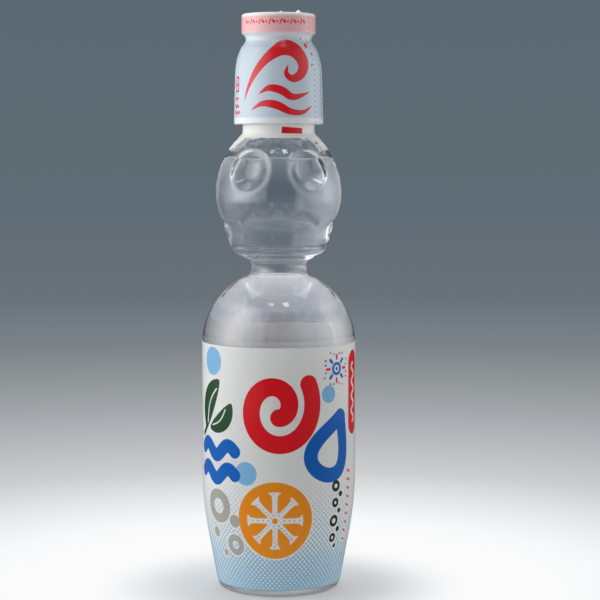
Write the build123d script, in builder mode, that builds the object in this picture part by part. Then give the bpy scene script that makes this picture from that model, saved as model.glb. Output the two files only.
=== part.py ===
from build123d import *
import math
import os

# Marble stopper soda bottle, sealed, as it stands on a shelf.
# Lengths are in millimetres and angles in degrees. Heights run up from the table,
# radii run out from the bottle's axis, and the front of the bottle faces -Y.

# Clearances shared by the pieces
cut_overrun = 1.0
film_grip_gap = 0.03  # between a shrunk film and the solid piece that it grips
lift_gap = 0.10  # between the tear-off film and the pieces that it is lifted from
pocket_gap = 0.08  # around the pieces that are packed inside the mouthpiece
seat_gap = 0.05  # between the carrier ring and the spout's rim

# Foot: the flat ring that the bottle stands on, and the dome pushed up inside it
foot_inner_radius = 17.6
foot_outer_radius = 20.0
foot_dome_height = 6.0
heel_radius = 22.75
heel_height = 2.4

# Body: a straight taper, a long belly curve, the straight label panel and a round shoulder
taper_height = 14.6
taper_top_radius = 25.4
belly_height = 28.0
body_radius = 28.32
panel_height = 46.5
shoulder_height = 25.4
shoulder_top_radius = 11.9

# Waist: the pinch between the body and the chamber
waist_radius = 10.65
waist_straight_height = 2.4
waist_lower_round = 1.3
waist_upper_round = 1.4

# Chamber: the bulb that keeps the marble, with a raised ring and a groove near its foot
jaw_bottom_radius = 12.0
jaw_height = 2.9
jaw_top_radius = 16.3
cheek_height = 2.7
cheek_radius = 18.2
cheek_rise = 2.7
cheek_top_radius = 18.85
ring_step_height = 1.1
ring_low_radius = 19.5
ring_radius = 20.1
ring_height = 3.1
groove_rise = 0.9
groove_radius = 19.3
groove_exit_height = 1.4
chamber_bottom_radius = 20.9
chamber_lower_height = 9.8
chamber_radius = 23.3
chamber_upper_height = 18.0
chamber_top_radius = 16.9
cone_height = 3.4
cone_top_radius = 13.9

# Dimples: two dents that hold the marble back while the bottle is poured
dimple_angle = 31.0
dimple_rise = 10.7  # above the widest place of the chamber
dimple_bowl_radius = 6.9
dimple_depth = 4.8
dimple_rim_round = 2.3

# Neck finish under the mouthpiece
neck_radius = 13.0
neck_round_height = 1.4
neck_height = 3.0
support_ring_radius = 16.1
support_ring_height = 1.8
finish_height = 21.0  # from the support ring's underside to the lip
finish_step = 0.5
finish_wall = 1.63
bead_proud = 1.1
bead_height = 2.4
bead_slope_height = 0.8
bead_drop = 3.0  # from the lip down to the bead

# Walls of the blown bottle, thick where the plastic is hardly stretched
foot_wall = 1.5
body_wall = 0.8
chamber_wall = 1.3

# Marble, and the seats that it meets at both ends of its way
marble_radius = 8.5
seal_press_gap = 0.10  # to the rubber that it is pressed against
rest_gap = 0.15  # to the throat that it falls on
guide_gap = 0.30  # to the retainer that it passes through
throat_bite = 0.70  # by which the throat is narrower than the marble
throat_entry_round = 2.0
throat_cone_angle = 32.0
throat_chamfer = 2.0

# Rubber seal
seal_bite = 1.9  # by which the seal is narrower than the marble
seal_height = 3.0
seal_lower_round = 1.5
seal_edge_round = 0.4

# Mouthpiece
skirt_gap = 0.4  # from the support ring up to the mouthpiece's lower edge
skirt_proud = 0.05  # beyond the support ring
skirt_height = 16.4
skirt_taper = 0.45
cap_shoulder_height = 9.2
cap_shoulder_radius = 13.45
cap_slope_height = 2.4
spout_radius = 11.8
spout_wall = 2.0
spout_height = 3.6
spout_rim_round = 0.5
mouth_bore_radius = 7.6
mouth_lip_height = 2.8
skirt_bead_gap = 0.35
snap_hold = 0.6  # of the snap ring under the bottle's bead
snap_ring_height = 1.7
snap_ring_gap = 0.2

# Liner and retainer inside the mouthpiece
gasket_height = 0.8
gasket_setback = 0.13
retainer_neck_gap = 0.27
retainer_plug_depth = 2.0
retainer_edge_round = 0.4

# Opener: a carrier ring on the spout, with the plunger inside it
carrier_radius = 13.3
carrier_wall = 3.05
carrier_height = 6.1
carrier_skirt_depth = 1.0
carrier_skirt_gap = 0.2
carrier_edge_round = 0.8
plunger_side_gap = 0.25
plunger_sink = 0.4
plunger_disc_height = 1.7
plunger_edge_round = 0.4
plunger_dish_radius = 7.0
plunger_dish_depth = 0.5
plunger_stop_gap = 0.1
post_side_gap = 0.6
post_tip_gap = 0.3
post_rib_width = 1.8
post_tip_chamfer = 0.6

# Films
film_thickness = 0.15
label_foot_rise = 0.6  # from the heel up to the label's lower edge
label_top_rise = 0.9  # from the panel up to the label's upper edge
collar_foot_drop = 0.6  # from the top of the cone down to the collar's lower edge
film_neck_rise = 0.5  # from the foot of the spout up to the film's narrowest place
film_lip_width = 2.1  # of the edge that is folded over the top

# Radii that follow from the ones above
finish_radius = neck_radius - finish_step
neck_bore_radius = finish_radius - finish_wall
bead_radius = finish_radius + bead_proud
throat_radius = marble_radius - throat_bite
seal_bore_radius = marble_radius - seal_bite
pocket_radius = spout_radius - spout_wall
seal_outer_radius = pocket_radius - pocket_gap
skirt_bottom_radius = support_ring_radius + skirt_proud
skirt_top_radius = skirt_bottom_radius - skirt_taper
skirt_bore_radius = bead_radius + skirt_bead_gap
snap_ring_radius = bead_radius - snap_hold
retainer_bore_radius = marble_radius + guide_gap
retainer_outer_radius = neck_bore_radius - retainer_neck_gap
carrier_bore_radius = carrier_radius - carrier_wall
plunger_disc_radius = carrier_bore_radius - plunger_side_gap
post_radius = seal_bore_radius - post_side_gap

# Heights of the bottle's stages, from the table up
taper_z = heel_height + taper_height
panel_z = taper_z + belly_height
shoulder_z = panel_z + panel_height
waist_start_z = shoulder_z + shoulder_height
waist_low_z = waist_start_z + waist_lower_round
waist_high_z = waist_low_z + waist_straight_height
jaw_z = waist_high_z + waist_upper_round
jaw_top_z = jaw_z + jaw_height
cheek_z = jaw_top_z + cheek_height
cheek_top_z = cheek_z + cheek_rise
ring_low_z = cheek_top_z + ring_step_height
ring_high_z = ring_low_z + ring_height
groove_z = ring_high_z + groove_rise
chamber_low_z = groove_z + groove_exit_height
chamber_z = chamber_low_z + chamber_lower_height
chamber_high_z = chamber_z + chamber_upper_height
cone_top_z = chamber_high_z + cone_height
neck_z = cone_top_z + neck_round_height
support_z = neck_z + neck_height
support_top_z = support_z + support_ring_height
lip_z = support_z + finish_height
bead_top_z = lip_z - bead_drop
bead_z = bead_top_z - bead_height

# Heights of the mouthpiece and of what is packed inside it
skirt_z = support_top_z + skirt_gap
skirt_top_z = skirt_z + skirt_height
cap_shoulder_z = skirt_top_z + cap_shoulder_height
spout_z = cap_shoulder_z + cap_slope_height
rim_z = spout_z + spout_height
pocket_z = rim_z - mouth_lip_height
seal_top_z = pocket_z - pocket_gap
seal_z = seal_top_z - seal_height
retainer_top_z = seal_z - pocket_gap
retainer_z = lip_z - retainer_plug_depth
gasket_z = lip_z + seat_gap
gasket_top_z = gasket_z + gasket_height
cap_step_z = gasket_top_z + pocket_gap
snap_ring_top_z = bead_z - snap_ring_gap

# The marble hangs against the round lower edge of the seal
seal_reach = marble_radius + seal_press_gap + seal_lower_round
seal_offset = seal_bore_radius + seal_lower_round
marble_z = seal_z + seal_lower_round - math.sqrt(seal_reach**2 - seal_offset**2)

# The fallen marble would lie on the round entry of the throat
throat_reach = marble_radius + rest_gap + throat_entry_round
throat_offset = throat_radius + throat_entry_round
marble_fallen_z = waist_high_z + math.sqrt(throat_reach**2 - throat_offset**2)
marble_drop = marble_z - marble_fallen_z

# Heights of the opener
carrier_z = rim_z - carrier_skirt_depth
carrier_seat_z = rim_z + seat_gap
carrier_top_z = carrier_z + carrier_skirt_depth + carrier_height
plunger_top_z = carrier_top_z - plunger_sink
plunger_disc_z = plunger_top_z - plunger_disc_height
post_tip_z = marble_z + marble_radius + post_tip_gap
plunger_travel = plunger_disc_z - rim_z - plunger_stop_gap

# Heights of the films' edges
label_foot_z = heel_height + label_foot_rise
label_top_z = shoulder_z + label_top_rise
collar_foot_z = cone_top_z - collar_foot_drop
collar_top_z = support_z - film_grip_gap
film_foot_z = support_z
film_neck_z = spout_z + film_neck_rise


def chamber_side_radius(rise):
    """Radius of the chamber at a height above its widest place, on its upper arc."""
    drop = chamber_radius - chamber_top_radius
    arc_radius = (chamber_upper_height**2 + drop**2) / (2 * drop)
    return chamber_radius - arc_radius + math.sqrt(arc_radius**2 - rise**2)


def radius_between(low, high, height):
    """Radius at a height on the straight side between two (radius, height) points."""
    share = (height - low[1]) / (high[1] - low[1])
    return low[0] + (high[0] - low[0]) * share


# Each dimple's bowl is part of a ball whose centre stands near the chamber's wall
dimple_reach = chamber_side_radius(dimple_rise) + dimple_bowl_radius - dimple_depth
dimple_centres = [
    (
        side * dimple_reach * math.sin(math.radians(dimple_angle)),
        -dimple_reach * math.cos(math.radians(dimple_angle)),
        chamber_z + dimple_rise,
    )
    for side in (-1, 1)
]

os.makedirs("parts", exist_ok=True)

# Space inside the bottle: the outside drawn in by each wall, with the dimples in its way
with BuildPart() as hollow:
    with BuildSketch(Plane.XZ):
        with BuildLine():
            inner_axis = Line((0, foot_dome_height + foot_wall), (0, lip_z + cut_overrun))
            inner_neck = Polyline(
                inner_axis @ 1,
                (neck_bore_radius, lip_z + cut_overrun),
                (neck_bore_radius, neck_z),
                (cone_top_radius - chamber_wall, cone_top_z - chamber_wall / 2),
                (chamber_top_radius - chamber_wall, chamber_high_z - chamber_wall / 2),
            )
            inner_crown = TangentArc(
                (chamber_radius - chamber_wall, chamber_z), inner_neck @ 1, tangent=(0, 1)
            )
            inner_bowl = TangentArc(
                inner_crown @ 0,
                (chamber_bottom_radius - chamber_wall, chamber_low_z),
                tangent=(0, -1),
            )
            inner_cheek = Polyline(
                inner_bowl @ 1,
                (groove_radius - chamber_wall, groove_z),
                (cheek_top_radius - chamber_wall, cheek_top_z),
                (cheek_radius - chamber_wall, cheek_z + chamber_wall / 2),
            )
            throat_entry = JernArc(
                (throat_radius, waist_high_z),
                (0, 1),
                throat_entry_round,
                throat_cone_angle - 90,
            )
            inner_jaw = Line(throat_entry @ 1, inner_cheek @ 1)
            throat = Polyline(
                throat_entry @ 0,
                (throat_radius, waist_low_z),
                (throat_radius + throat_chamfer, waist_low_z - throat_chamfer),
            )
            inner_shoulder = TangentArc(
                (body_radius - body_wall, shoulder_z), throat @ 1, tangent=(0, 1)
            )
            inner_panel = Line(inner_shoulder @ 0, (body_radius - body_wall, panel_z))
            inner_belly = TangentArc(
                inner_panel @ 1, (taper_top_radius - body_wall, taper_z), tangent=(0, -1)
            )
            inner_taper = Line(
                inner_belly @ 1, (heel_radius - body_wall, heel_height + foot_wall)
            )
            inner_heel = TangentArc(
                (foot_outer_radius, foot_wall), inner_taper @ 1, tangent=(1, 0)
            )
            inner_foot = Line(inner_heel @ 0, (foot_inner_radius, foot_wall))
            inner_dome = TangentArc(inner_axis @ 0, inner_foot @ 1, tangent=(1, 0))
        make_face()
    revolve(axis=Axis.Z)
    with Locations(*dimple_centres):
        Sphere(dimple_bowl_radius + chamber_wall, mode=Mode.SUBTRACT)
    fillet(
        hollow.edges(Select.LAST).filter_by(GeomType.BSPLINE),
        dimple_rim_round - chamber_wall,
    )

# Bottle, blown in one piece, with the neck finish that holds the mouthpiece
with BuildPart() as bottle:
    with BuildSketch(Plane.XZ):
        with BuildLine():
            outer_axis = Line((0, foot_dome_height), (0, lip_z))
            foot_dome = TangentArc(outer_axis @ 0, (foot_inner_radius, 0), tangent=(1, 0))
            foot = Line(foot_dome @ 1, (foot_outer_radius, 0))
            heel = TangentArc(foot @ 1, (heel_radius, heel_height), tangent=(1, 0))
            taper = Line(heel @ 1, (taper_top_radius, taper_z))
            belly = TangentArc((body_radius, panel_z), taper @ 1, tangent=(0, -1))
            panel = Line(belly @ 0, (body_radius, shoulder_z))
            shoulder = TangentArc(
                panel @ 1, (shoulder_top_radius, waist_start_z), tangent=(0, 1)
            )
            waist_low = TangentArc((waist_radius, waist_low_z), shoulder @ 1, tangent=(0, -1))
            waist = Line(waist_low @ 0, (waist_radius, waist_high_z))
            waist_high = TangentArc(waist @ 1, (jaw_bottom_radius, jaw_z), tangent=(0, 1))
            jaw = Line(waist_high @ 1, (jaw_top_radius, jaw_top_z))
            cheek = TangentArc((cheek_radius, cheek_z), jaw @ 1, tangent=(0, -1))
            ring_and_groove = Polyline(
                cheek @ 0,
                (cheek_top_radius, cheek_top_z),
                (ring_low_radius, ring_low_z),
                (ring_radius, ring_high_z),
                (groove_radius, groove_z),
                (chamber_bottom_radius, chamber_low_z),
            )
            bowl = TangentArc(
                (chamber_radius, chamber_z), ring_and_groove @ 1, tangent=(0, -1)
            )
            crown = TangentArc(
                bowl @ 0, (chamber_top_radius, chamber_high_z), tangent=(0, 1)
            )
            cone = Line(crown @ 1, (cone_top_radius, cone_top_z))
            neck_round = TangentArc((neck_radius, neck_z), cone @ 1, tangent=(0, -1))
            finish = Polyline(
                neck_round @ 0,
                (neck_radius, support_z),
                (support_ring_radius, support_z),
                (support_ring_radius, support_top_z),
                (finish_radius, support_top_z),
                (finish_radius, bead_z),
                (bead_radius, bead_z),
                (bead_radius, bead_top_z - bead_slope_height),
                (finish_radius, bead_top_z),
                (finish_radius, lip_z),
                outer_axis @ 1,
            )
        make_face()
    revolve(axis=Axis.Z)
    with Locations(*dimple_centres):
        Sphere(dimple_bowl_radius, mode=Mode.SUBTRACT)
    fillet(bottle.edges(Select.LAST).filter_by(GeomType.BSPLINE), dimple_rim_round)
    add(hollow.part, mode=Mode.SUBTRACT)
bottle.part.label = "bottle"
export_step(bottle.part, "parts/bottle.step")


def draw_label_side(offset):
    """Side of the label from its upper edge down, this far out from the bottle's wall."""
    foot_radius = radius_between(
        (heel_radius, heel_height), (taper_top_radius, taper_z), label_foot_z
    )
    panel_side = Line((body_radius + offset, label_top_z), (body_radius + offset, panel_z))
    belly_side = TangentArc(
        panel_side @ 1, (taper_top_radius + offset, taper_z), tangent=(0, -1)
    )
    taper_side = Line(belly_side @ 1, (foot_radius + offset, label_foot_z))
    return panel_side @ 0, taper_side @ 1


# Printed shrink sleeve around the body
with BuildPart() as body_label:
    with BuildSketch(Plane.XZ):
        with BuildLine():
            label_inside = draw_label_side(film_grip_gap)
            label_outside = draw_label_side(film_grip_gap + film_thickness)
            Line(label_inside[0], label_outside[0])
            Line(label_inside[1], label_outside[1])
        make_face()
    revolve(axis=Axis.Z)
body_label.part.label = "body_label"
export_step(body_label.part, "parts/body_label.step")


def draw_collar_side(offset):
    """Side of the collar from its foot on the cone up to the support ring and out under it."""
    foot_radius = radius_between(
        (chamber_top_radius, chamber_high_z), (cone_top_radius, cone_top_z), collar_foot_z
    )
    top_z = collar_top_z + film_grip_gap - offset
    cone_side = Line(
        (foot_radius + offset, collar_foot_z), (cone_top_radius + offset, cone_top_z)
    )
    round_side = TangentArc((neck_radius + offset, neck_z), cone_side @ 1, tangent=(0, -1))
    neck_side = Polyline(
        round_side @ 0,
        (neck_radius + offset, top_z),
        (support_ring_radius + film_grip_gap, top_z),
    )
    return cone_side @ 0, neck_side @ 1


# Lower strip of the neck film, which stays on the neck when the rest is torn off
with BuildPart() as neck_film:
    with BuildSketch(Plane.XZ):
        with BuildLine():
            collar_inside = draw_collar_side(film_grip_gap)
            collar_outside = draw_collar_side(film_grip_gap + film_thickness)
            Line(collar_inside[0], collar_outside[0])
            Line(collar_inside[1], collar_outside[1])
        make_face()
    revolve(axis=Axis.Z)
neck_film.part.label = "neck_film"
export_step(neck_film.part, "parts/neck_film.step")

# Mouthpiece, pressed on over the bottle's bead
with BuildPart() as mouth_cap:
    with BuildSketch(Plane.XZ):
        with BuildLine():
            skirt_side = Line((skirt_bottom_radius, skirt_z), (skirt_top_radius, skirt_top_z))
            cap_shoulder = TangentArc(
                skirt_side @ 1,
                (cap_shoulder_radius, cap_shoulder_z),
                tangent=skirt_side % 1,
            )
            Polyline(
                cap_shoulder @ 1,
                (spout_radius, spout_z),
                (spout_radius, rim_z),
                (mouth_bore_radius, rim_z),
                (mouth_bore_radius, pocket_z),
                (pocket_radius, pocket_z),
                (pocket_radius, seal_z),
                (retainer_outer_radius + pocket_gap, seal_z),
                (retainer_outer_radius + pocket_gap, cap_step_z),
                (skirt_bore_radius, cap_step_z),
                (skirt_bore_radius, snap_ring_top_z),
                (snap_ring_radius, snap_ring_top_z),
                (snap_ring_radius, snap_ring_top_z - snap_ring_height / 2),
                (skirt_bore_radius, snap_ring_top_z - snap_ring_height),
                (skirt_bore_radius, skirt_z),
                skirt_side @ 0,
            )
        make_face()
    revolve(axis=Axis.Z)
    fillet(mouth_cap.edges().group_by(Axis.Z)[-1], spout_rim_round)
mouth_cap.part.label = "mouth_cap"
export_step(mouth_cap.part, "parts/mouth_cap.step")

# Rubber ring that the marble is pressed against
with BuildPart() as seal_ring:
    with BuildSketch(Plane.XZ):
        with BuildLine():
            seal_bottom = Line(
                (seal_outer_radius, seal_z), (seal_bore_radius + seal_lower_round, seal_z)
            )
            seal_round = TangentArc(
                seal_bottom @ 1,
                (seal_bore_radius, seal_z + seal_lower_round),
                tangent=(-1, 0),
            )
            Polyline(
                seal_round @ 1,
                (seal_bore_radius, seal_top_z),
                (seal_outer_radius, seal_top_z),
                seal_bottom @ 0,
            )
        make_face()
    revolve(axis=Axis.Z)
    fillet(seal_ring.edges().group_by(Axis.Z)[-1], seal_edge_round)
seal_ring.part.label = "seal_ring"
export_step(seal_ring.part, "parts/seal_ring.step")

# Ring that keeps the rubber in place and leads the marble through the neck
with BuildPart() as seal_retainer:
    with BuildSketch(Plane.XY.offset(retainer_z)):
        Circle(retainer_outer_radius)
        Circle(retainer_bore_radius, mode=Mode.SUBTRACT)
    extrude(amount=retainer_top_z - retainer_z)
    fillet(seal_retainer.edges().group_by(Axis.Z)[0], retainer_edge_round)
seal_retainer.part.label = "seal_retainer"
export_step(seal_retainer.part, "parts/seal_retainer.step")

# Flat liner between the bottle's lip and the mouthpiece
with BuildPart() as neck_gasket:
    with BuildSketch(Plane.XY.offset(gasket_z)):
        Circle(skirt_bore_radius - pocket_gap)
        Circle(neck_bore_radius + gasket_setback, mode=Mode.SUBTRACT)
    extrude(amount=gasket_height)
neck_gasket.part.label = "neck_gasket"
export_step(neck_gasket.part, "parts/neck_gasket.step")

# Glass marble, held up against the seal
with BuildPart() as marble:
    with Locations((0, 0, marble_z)):
        Sphere(marble_radius)
marble.part.label = "marble"
export_step(marble.part, "parts/marble.step")

# Ring that stands on the spout's rim around the plunger
with BuildPart() as carrier_ring:
    with BuildSketch(Plane.XZ):
        with BuildLine():
            Polyline(
                (carrier_bore_radius, carrier_seat_z),
                (spout_radius + carrier_skirt_gap, carrier_seat_z),
                (spout_radius + carrier_skirt_gap, carrier_z),
                (carrier_radius, carrier_z),
                (carrier_radius, carrier_top_z),
                (carrier_bore_radius, carrier_top_z),
                close=True,
            )
        make_face()
    revolve(axis=Axis.Z)
    fillet(carrier_ring.edges().group_by(Axis.Z)[-1], carrier_edge_round)
carrier_ring.part.label = "carrier_ring"
export_step(carrier_ring.part, "parts/carrier_ring.step")

# Plunger: a dished disc that a thumb presses, with a cross-ribbed post over the marble
with BuildPart() as plunger:
    with BuildSketch(Plane.XZ):
        with BuildLine():
            dish = TangentArc(
                (0, plunger_top_z - plunger_dish_depth),
                (plunger_dish_radius, plunger_top_z),
                tangent=(1, 0),
            )
            Polyline(
                dish @ 1,
                (plunger_disc_radius, plunger_top_z),
                (plunger_disc_radius, plunger_disc_z),
                (0, plunger_disc_z),
                dish @ 0,
            )
        make_face()
    revolve(axis=Axis.Z)
    fillet(plunger.edges().group_by(SortBy.LENGTH)[-1], plunger_edge_round)
    with BuildSketch(Plane.XY.offset(post_tip_z)):
        Rectangle(2 * post_radius, post_rib_width)
        Rectangle(post_rib_width, 2 * post_radius)
        Circle(post_radius, mode=Mode.INTERSECT)
    extrude(until=Until.NEXT)
    chamfer(plunger.faces().sort_by(Axis.Z)[0].edges(), post_tip_chamfer)
plunger.part.label = "plunger"
export_step(plunger.part, "parts/plunger.step")


def draw_cap_film_side(offset):
    """Side of the tear-off film from its foot up to the lip on top, this far from the pieces."""
    corner_round = carrier_edge_round + offset
    skirt_film = Polyline(
        (skirt_bottom_radius + offset, film_foot_z),
        (skirt_bottom_radius + offset, skirt_z),
        (skirt_top_radius + offset, skirt_top_z),
    )
    shoulder_film = TangentArc(
        skirt_film @ 1,
        (cap_shoulder_radius + offset, cap_shoulder_z),
        tangent=(-skirt_taper, skirt_height),
    )
    spout_film = Polyline(
        shoulder_film @ 1,
        (spout_radius + offset, spout_z),
        (spout_radius + offset, film_neck_z),
    )
    flare_film = TangentArc(
        spout_film @ 1, (carrier_radius + offset, carrier_z), tangent=(0, 1)
    )
    band_film = Line(
        flare_film @ 1, (carrier_radius + offset, carrier_top_z + offset - corner_round)
    )
    corner_film = TangentArc(
        band_film @ 1,
        (carrier_radius + offset - corner_round, carrier_top_z + offset),
        tangent=(0, 1),
    )
    lip_film = Line(
        corner_film @ 1, (carrier_radius - film_lip_width, carrier_top_z + offset)
    )
    return skirt_film @ 0, lip_film @ 1


# Tear-off film around the mouthpiece and the opener
with BuildPart() as cap_film:
    with BuildSketch(Plane.XZ):
        with BuildLine():
            film_inside = draw_cap_film_side(lift_gap)
            film_outside = draw_cap_film_side(lift_gap + film_thickness)
            Line(film_inside[0], film_outside[0])
            Line(film_inside[1], film_outside[1])
        make_face()
    revolve(axis=Axis.Z)
cap_film.part.label = "cap_film"
export_step(cap_film.part, "parts/cap_film.step")

print("marble centre, sealed and fallen:", marble_z, marble_fallen_z)
print("marble drop:", marble_drop, "plunger travel:", plunger_travel)
print("drop per travel:", marble_drop / plunger_travel)
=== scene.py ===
import math

import bpy
import numpy as np
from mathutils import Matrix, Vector


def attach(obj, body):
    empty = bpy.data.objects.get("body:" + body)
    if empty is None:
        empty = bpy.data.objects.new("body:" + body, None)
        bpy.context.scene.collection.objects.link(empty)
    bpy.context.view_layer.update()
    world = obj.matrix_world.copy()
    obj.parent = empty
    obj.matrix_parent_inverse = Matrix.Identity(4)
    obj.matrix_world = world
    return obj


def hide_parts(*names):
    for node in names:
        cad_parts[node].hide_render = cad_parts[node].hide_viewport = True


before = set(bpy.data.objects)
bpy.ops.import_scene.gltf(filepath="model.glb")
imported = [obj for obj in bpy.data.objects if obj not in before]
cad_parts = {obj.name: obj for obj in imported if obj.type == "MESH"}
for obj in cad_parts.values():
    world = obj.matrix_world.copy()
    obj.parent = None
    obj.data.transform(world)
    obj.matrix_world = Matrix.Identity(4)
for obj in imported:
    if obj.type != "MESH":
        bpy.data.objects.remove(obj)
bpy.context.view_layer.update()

# Marble stopper soda bottle. Lengths in the dictionaries are in millimetres unless noted, the meshes in metres.
# Angles round the bottle are counted from its front, -Y, towards its right side, +X.

scene = bpy.context.scene
scene.view_settings.view_transform = "Standard"
millimetre = 0.001


# An sRGB hex colour as linear light: v/12.92 when dark, else ((v + 0.055)/1.055)^2.4
def linearColour(hexColour):
    parts = [int(hexColour[i:i + 2], 16) / 255 for i in (1, 3, 5)]
    return [v / 12.92 if v < 0.04045 else ((v + 0.055) / 1.055) ** 2.4 for v in parts] + [1.0]


# Adds one node. inputs gives its sockets in their order, or by name or number: a node or an output among them
# is linked, any other value is set. options are the node's own settings.
def addNode(tree, kind, inputs=(), **options):
    node = tree.nodes.new("ShaderNode" + kind)
    for name, value in options.items():
        setattr(node, name, value)
    for name, value in inputs.items() if isinstance(inputs, dict) else enumerate(inputs):
        if isinstance(value, bpy.types.Node):  # its first output that is in use
            value = next(output for output in value.outputs if output.enabled)
        if isinstance(value, bpy.types.NodeSocket):
            tree.links.new(value, node.inputs[name])
        else:
            node.inputs[name].default_value = value
    return node


def emptyTree(owner):
    owner.use_nodes = True
    owner.node_tree.nodes.clear()
    return owner.node_tree


def newMaterial(name):
    material = bpy.data.materials.new(name)
    return material, emptyTree(material)


# Puts a camera or a lamp at a place and points it at another, both in metres
def aimedObject(name, data, place, aim):
    item = bpy.data.objects.new(name, data)
    scene.collection.objects.link(item)
    item.location = place
    item.rotation_euler = (Vector(aim) - Vector(place)).to_track_quat("-Z", "Y").to_euler()
    return item


cameraSet = {
    "place": (0.0, -0.720, 0.1683), "target": (0.0079, 0.0, 0.1073), "clip": (0.01, 100.0),  # metres
    "lens": 116.8, "sensor": 36.0,
    "bounces": 24,  # how many clear walls light may cross before it is given up
}
cameraData = bpy.data.cameras.new("photoCamera")
cameraData.lens, cameraData.sensor_width = cameraSet["lens"], cameraSet["sensor"]
cameraData.clip_start, cameraData.clip_end = cameraSet["clip"]
scene.camera = aimedObject("photoCamera", cameraData, cameraSet["place"], cameraSet["target"])
scene.cycles.max_bounces = scene.cycles.transmission_bounces = scene.cycles.glossy_bounces = cameraSet["bounces"]
print("camera is in place")


# Points of the round arc that leaves the first point along a direction and ends in the second.
# Its radius is chord^2 / (2 * the chord's share across the direction), its sweep twice the angle between them.
def arcRun(first, second, direction, count=40):
    first, second = np.array(first, float), np.array(second, float)
    along = np.array(direction, float) / np.hypot(*direction)
    chord = second - first
    across = np.array((-along[1], along[0]))
    if chord @ across < 0:
        across = -across
    radius = (chord @ chord) / (2 * (chord @ across))
    turn = np.linspace(0, 2 * math.atan2(chord @ across, chord @ along), count)[:, None]
    return first + radius * (across * (1 - np.cos(turn)) + along * np.sin(turn))


# A side view as one run of points. A stage is (radius, height) for a straight run, with ("leaves", direction)
# for an arc that starts along it, or ("arrives", direction) for an arc that ends along it.
def sideRun(stages):
    points = [np.array([stages[0][:2]], float)]
    for stage in stages[1:]:
        last, here = points[-1][-1], stage[:2]
        if len(stage) == 2:
            points.append(np.array([here], float))
        elif stage[2] == "leaves":
            points.append(arcRun(last, here, stage[3])[1:])
        else:
            points.append(arcRun(here, last, (-stage[3][0], -stage[3][1]))[::-1][1:])
    return np.concatenate(points)


def valuesAt(wanted, places, points):
    return np.stack([np.interp(wanted, places, points[:, k]) for k in (0, 1)], 1)


# The same side view with its corners eased: even steps along it, a bell-shaped average over a few of them,
# then steps that get closer where it bends, and where the spacing rule asks for more.
def easedRun(points, softness=0.35, widest=2.0, bendShare=3.0, spacing=None):
    bellSteps = 6  # even steps in one softness
    far = 4 * bellSteps  # where the bell has faded out
    step = softness / bellSteps
    length = np.concatenate([[0], np.cumsum(np.hypot(*np.diff(points, axis=0).T))])
    places = np.linspace(0, length[-1], int(length[-1] / step) + 2)
    even = valuesAt(places, length, points)
    bell = np.exp(-0.5 * (np.arange(-far, far + 1) / bellSteps) ** 2)
    bell /= bell.sum()
    # beyond its ends the run goes on as its own point reflection, so the ends stay
    longer = np.concatenate([2 * even[0] - even[far:0:-1], even, 2 * even[-1] - even[-2:-far - 2:-1]])
    soft = np.stack([np.convolve(longer[:, k], bell, "valid") for k in (0, 1)], 1)
    tangent = np.unwrap(np.arctan2(*np.gradient(soft, axis=0).T[::-1]))
    density = 1 / widest + bendShare * np.abs(np.gradient(tangent, places))
    if spacing is not None:
        density = np.maximum(density, 1 / spacing(soft))
    count = np.concatenate([[0], np.cumsum((density[1:] + density[:-1]) / 2 * np.diff(places))])
    wanted = np.interp(np.linspace(0, count[-1], int(count[-1]) + 2), count, places)
    return valuesAt(wanted, places, soft)


# Rounds the corners between two heights of a side view by the same bell-shaped average; the part's ends stay
def softenedPart(points, low, high, softness):
    inside = np.where((points[:, 1] > low) & (points[:, 1] < high))[0]
    part = easedRun(points[inside[0]:inside[-1] + 1], softness, widest=0.25, bendShare=0.0)
    return np.concatenate([points[:inside[0]], part, points[inside[-1] + 1:]])


# Directions square to a run of points, to its right
def rightOf(points):
    along = np.gradient(points, axis=0)
    along /= np.hypot(*along.T)[:, None]
    return np.stack([along[:, 1], -along[:, 0]], 1)


# Soft humps, added up: height * exp(-((value - middle) / width)^2)
def humps(values, table):
    return sum(height * np.exp(-((values - middle) / width) ** 2) for height, middle, width in table)


# Angles from behind round to behind, close together within the front's half width and wide elsewhere
def columnAngles(frontHalf, frontStep, backStep):
    front = np.arange(0, frontHalf, frontStep)
    back = np.linspace(frontHalf, 180, max(2, round((180 - frontHalf) / backStep) + 1))
    half = np.radians(np.concatenate([front, back]))
    return np.concatenate([-half[:0:-1], half])


def evenAngles(count):
    return np.radians(np.linspace(-180, 180, count + 1))


# A surface turned round the bottle's axis: x = r sin a, y = -r cos a. The rows follow the side view.
# A side view that starts or ends on the axis gets one point there; else its last row meets the first.
def turnedSurface(side, angles):
    closedBelow, closedAbove = bool(side[0, 0] < 1e-6), bool(side[-1, 0] < 1e-6)
    rows = side[closedBelow:len(side) - closedAbove]
    turns = angles[:-1]  # the last angle is the first one again
    radius, height = rows[:, :1], rows[:, 1:]
    grid = np.stack([radius * np.sin(turns), -radius * np.cos(turns), height + 0 * turns], 2)
    return {"side": rows, "turns": turns, "angles": angles, "grid": grid,
            "below": side[0, 1] if closedBelow else None, "above": side[-1, 1] if closedAbove else None}


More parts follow.
